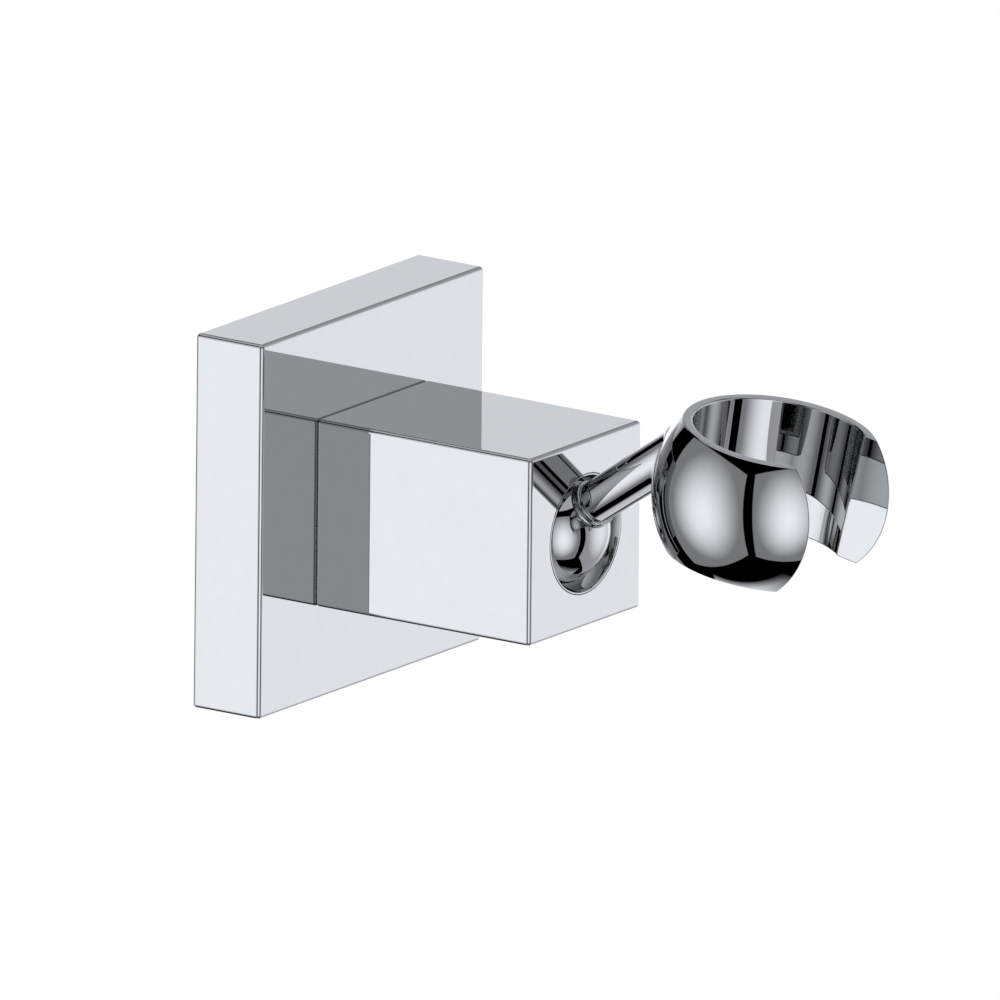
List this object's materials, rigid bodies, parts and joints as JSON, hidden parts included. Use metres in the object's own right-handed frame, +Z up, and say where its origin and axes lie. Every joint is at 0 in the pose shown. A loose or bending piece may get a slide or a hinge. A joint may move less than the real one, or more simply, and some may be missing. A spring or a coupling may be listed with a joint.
{
  "type": "wall handset holder",
  "caption": "Square chromed wall bracket with a short square arm, a ball joint in its end and a C-shaped cradle with a tapered hole and a front slot.",
  "frame": {"origin": "middle of the face that lies on the wall", "axes": "+Z up, the arm points along -Y, +Y goes into the wall, X across"},
  "size_m": [0.052, 0.0892, 0.052],
  "materials": {
    "chrome": "polished bright chrome plating on brass",
    "zinc_plate": "bright zinc-plated pressed steel",
    "stainless": "turned stainless steel",
    "spring_steel": "blued and oiled spring steel",
    "acetal": "natural moulded plastic",
    "rubber": "moulded sheet rubber"
  },
  "bodies": {
    "bracket": {"wall_cover": "chrome", "wall_plate": "zinc_plate", "wall_gasket": "rubber", "grub_screw": "stainless", "arm_screw": "stainless", "lock_washer": "spring_steel", "locating_pins": "stainless", "arm": "chrome", "disc_springs": "spring_steel", "pressure_disc": "zinc_plate", "front_seat": "acetal", "retaining_ring": "chrome"},
    "seat": {"rear_seat": "acetal"},
    "ball": {"ball": "chrome", "ball_screw": "stainless", "ball_washer": "spring_steel", "neck_collar": "chrome"},
    "cradle": {"cradle": "chrome"}
  },
  "joints": [
    {"name": "swivel", "type": "hinge", "parent": "bracket", "child": "seat", "pos_m": [0, -0.041, 0], "axis": [0, -1, 0], "continuous": true},
    {"name": "tilt", "type": "hinge", "parent": "seat", "child": "ball", "pos_m": [0, -0.041, 0], "axis": [1, 0, 0], "range_deg": [-2, 71]},
    {"name": "spin", "type": "hinge", "parent": "ball", "child": "cradle", "pos_m": [0, -0.041, 0], "axis": [0, -0.8202, 0.5721], "continuous": true}
  ]
}
